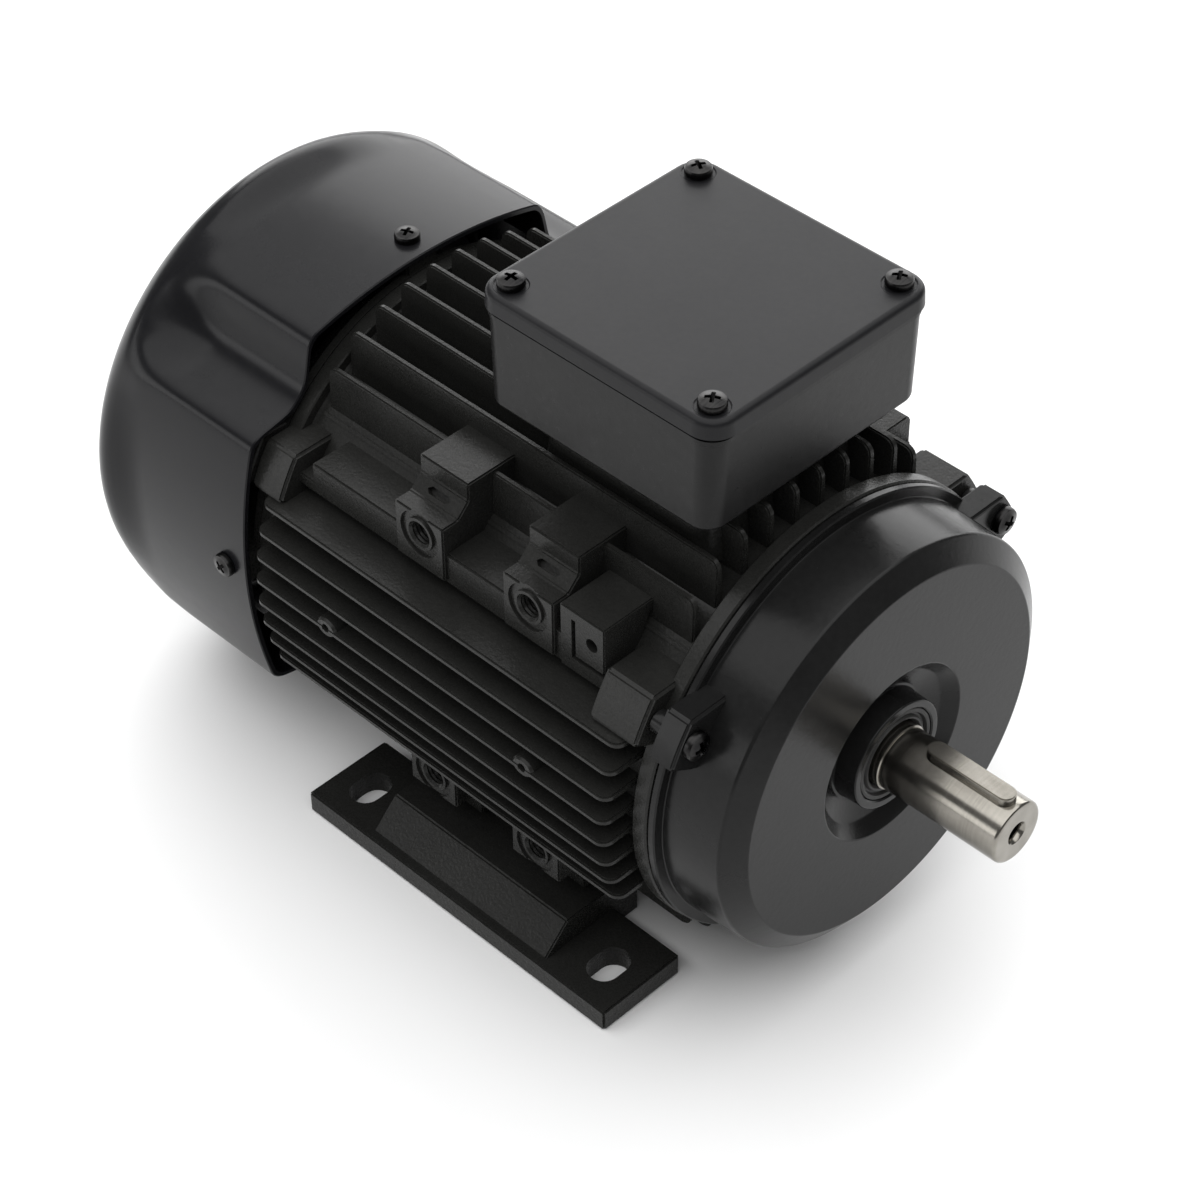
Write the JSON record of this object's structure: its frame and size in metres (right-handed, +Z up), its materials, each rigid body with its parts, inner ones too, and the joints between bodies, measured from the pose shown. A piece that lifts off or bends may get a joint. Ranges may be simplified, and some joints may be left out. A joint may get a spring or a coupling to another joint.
{
  "type": "electric motor",
  "caption": "Foot-mounted, fan-cooled induction motor with finned housing, end shields, top terminal box and a keyed shaft.",
  "frame": {"origin": "on the surface that the feet stand on, under the middle of the motor's overall box", "axes": "+X along the shaft out of the drive end, +Y to the left seen from the fan end, +Z up; the shaft axis is at z = 0.080"},
  "size_m": [0.2922, 0.1588, 0.2025],
  "materials": {
    "casting_black": "black satin paint on die-cast aluminium, fine orange-peel grain",
    "pressing_black": "smooth black semi-gloss paint on pressed steel",
    "steel_bright": "turned and ground bare steel, faint circular marks",
    "steel_black": "blackened steel fasteners",
    "steel_bearing": "ground bearing steel",
    "steel_lamination": "stacked electrical sheet steel",
    "aluminium_cast": "die-cast aluminium",
    "copper_winding": "enamelled copper wire, varnished",
    "brass_terminal": "brass",
    "seal_rubber": "black moulded rubber",
    "plastic_black": "black moulded plastic",
    "plastic_brown": "brown moulded thermoset"
  },
  "bodies": {
    "housing": {"cable_entry_plug": "plastic_black", "drive_end_bearing_outer_ring": "steel_bearing", "drive_end_shield": "casting_black", "drive_end_shield_screw_1": "steel_black", "drive_end_shield_screw_2": "steel_black", "drive_end_shield_screw_3": "steel_black", "earth_screw": "brass_terminal", "fan_cover": "pressing_black", "fan_cover_screw_1": "steel_black", "fan_cover_screw_2": "steel_black", "fan_cover_screw_3": "steel_black", "foot_bolt_1": "steel_black", "foot_bolt_2": "steel_black", "foot_bolt_3": "steel_black", "foot_bolt_4": "steel_black", "foot_left": "casting_black", "foot_right": "casting_black", "frame_housing": "casting_black", "lid_gasket": "seal_rubber", "lid_screw_1": "steel_black", "lid_screw_2": "steel_black", "lid_screw_3": "steel_black", "lid_screw_4": "steel_black", "rear_end_bearing_outer_ring": "steel_bearing", "rear_end_shield": "casting_black", "rear_end_shield_screw_1": "steel_black", "rear_end_shield_screw_2": "steel_black", "rear_end_shield_screw_3": "steel_black", "shaft_seal": "seal_rubber", "stator_core": "steel_lamination", "stator_winding": "copper_winding", "terminal_block": "plastic_brown", "terminal_box": "casting_black", "terminal_box_gasket": "seal_rubber", "terminal_box_lid": "pressing_black", "terminal_box_screw_1": "steel_bright", "terminal_box_screw_2": "steel_bright", "terminal_link_1": "brass_terminal", "terminal_link_2": "brass_terminal", "terminal_link_3": "brass_terminal", "terminal_stud_1": "brass_terminal", "terminal_stud_2": "brass_terminal", "terminal_stud_3": "brass_terminal", "terminal_stud_4": "brass_terminal", "terminal_stud_5": "brass_terminal", "terminal_stud_6": "brass_terminal", "wave_washer": "steel_bearing"},
    "rotor": {"cooling_fan": "plastic_black", "drive_end_bearing_inner_ring": "steel_bearing", "fan_clip": "steel_black", "rear_end_bearing_inner_ring": "steel_bearing", "rotor_cage": "aluminium_cast", "rotor_core": "steel_lamination", "shaft": "steel_bright", "shaft_key": "steel_bright"},
    "drive_end_balls": {"drive_end_bearing_ball_cage": "steel_bearing"},
    "rear_end_balls": {"rear_end_bearing_ball_cage": "steel_bearing"}
  },
  "joints": [
    {"name": "rotor_spin", "type": "hinge", "parent": "housing", "child": "rotor", "pos_m": [0, 0, 0.08], "axis": [1, 0, 0], "continuous": true},
    {"name": "drive_end_balls_roll", "type": "hinge", "parent": "housing", "child": "drive_end_balls", "pos_m": [0.0867, 0, 0.08], "axis": [1, 0, 0], "continuous": true},
    {"name": "rear_end_balls_roll", "type": "hinge", "parent": "housing", "child": "rear_end_balls", "pos_m": [-0.088, 0, 0.08], "axis": [1, 0, 0], "continuous": true}
  ],
  "couplings": [
    {"joint": "drive_end_balls_roll", "follows": "rotor_spin", "ratio": 0.3815},
    {"joint": "rear_end_balls_roll", "follows": "rotor_spin", "ratio": 0.3815}
  ]
}
